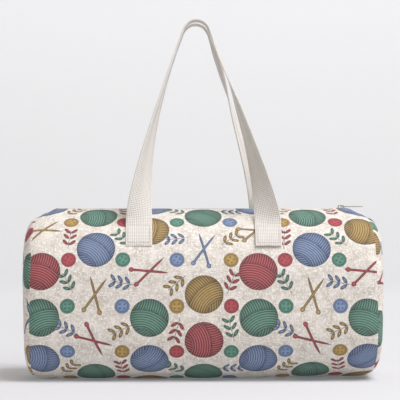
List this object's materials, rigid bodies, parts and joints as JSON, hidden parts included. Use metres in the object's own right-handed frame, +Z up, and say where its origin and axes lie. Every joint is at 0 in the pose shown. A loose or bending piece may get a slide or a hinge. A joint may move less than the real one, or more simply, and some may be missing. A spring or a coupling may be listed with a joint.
{
  "type": "knitting bag",
  "caption": "Zipped fabric duffel for knitting, with domed ends, a flat base and long webbing straps that fold down.",
  "frame": {"origin": "on the table, under the middle of the bag", "axes": "+X along the bag, front face towards -Y, +Z up"},
  "size_m": [0.518, 0.24, 0.5237],
  "materials": {
    "printed_canvas": "matt printed canvas",
    "lining_cloth": "plain woven lining",
    "binding_tape": "woven binding tape",
    "webbing": "undyed cotton webbing",
    "zip_tape": "woven zip tape",
    "zip_coil": "nylon coil",
    "zip_metal": "nickel-plated zinc",
    "base_sheet": "matt polypropylene sheet"
  },
  "bodies": {
    "bag": {"front_panel": "printed_canvas", "back_panel": "printed_canvas", "bottom_panel": "printed_canvas", "left_end_panel": "printed_canvas", "right_end_panel": "printed_canvas", "front_lining": "lining_cloth", "back_lining": "lining_cloth", "bottom_lining": "lining_cloth", "left_end_lining": "lining_cloth", "right_end_lining": "lining_cloth", "left_seam_binding": "binding_tape", "right_seam_binding": "binding_tape", "base_board": "base_sheet", "left_zip_tape_end": "zip_tape", "right_zip_tape_end": "zip_tape", "left_zip_coil_end": "zip_coil", "right_zip_coil_end": "zip_coil", "zip_bottom_stop": "zip_metal", "zip_top_stops": "zip_metal", "left_zip_end_tab": "printed_canvas", "right_zip_end_tab": "printed_canvas", "front_strap_ends": "webbing", "back_strap_ends": "webbing", "front_strap_backing": "binding_tape", "back_strap_backing": "binding_tape"},
    "front_flap": {"front_mouth_flap": "printed_canvas", "front_zip_tape": "zip_tape", "front_zip_coil": "zip_coil"},
    "back_flap": {"back_mouth_flap": "printed_canvas", "back_zip_tape": "zip_tape", "back_zip_coil": "zip_coil"},
    "slider": {"zip_slider": "zip_metal", "slider_bridge": "zip_metal"},
    "pull": {"zip_pull": "zip_metal"},
    "front_handle": {"front_strap": "webbing"},
    "back_handle": {"back_strap": "webbing"}
  },
  "joints": [
    {"name": "zip_slide", "type": "slide", "parent": "bag", "child": "slider", "axis": [-1, 0, 0], "range_m": [0, 0.41]},
    {"name": "pull_hinge", "type": "hinge", "parent": "slider", "child": "pull", "pos_m": [0.205, 0, 0.2493], "axis": [0, -1, 0], "range_deg": [0, 180]},
    {"name": "front_flap_fold", "type": "hinge", "parent": "bag", "child": "front_flap", "pos_m": [0, -0.06, 0.23765], "axis": [1, 0, 0], "range_deg": [0, 55]},
    {"name": "back_flap_fold", "type": "hinge", "parent": "bag", "child": "back_flap", "pos_m": [0, 0.06, 0.23765], "axis": [-1, 0, 0], "range_deg": [0, 55]},
    {"name": "front_handle_swing", "type": "hinge", "parent": "bag", "child": "front_handle", "pos_m": [0, -0.08396, 0.22641], "axis": [1, 0, 0], "range_deg": [0, 135]},
    {"name": "back_handle_swing", "type": "hinge", "parent": "bag", "child": "back_handle", "pos_m": [0, 0.08396, 0.22641], "axis": [-1, 0, 0], "range_deg": [0, 135]}
  ],
  "couplings": [
    {"joint": "front_flap_fold", "follows": "zip_slide", "rad_per_m": 2.34},
    {"joint": "back_flap_fold", "follows": "zip_slide", "rad_per_m": 2.34}
  ]
}
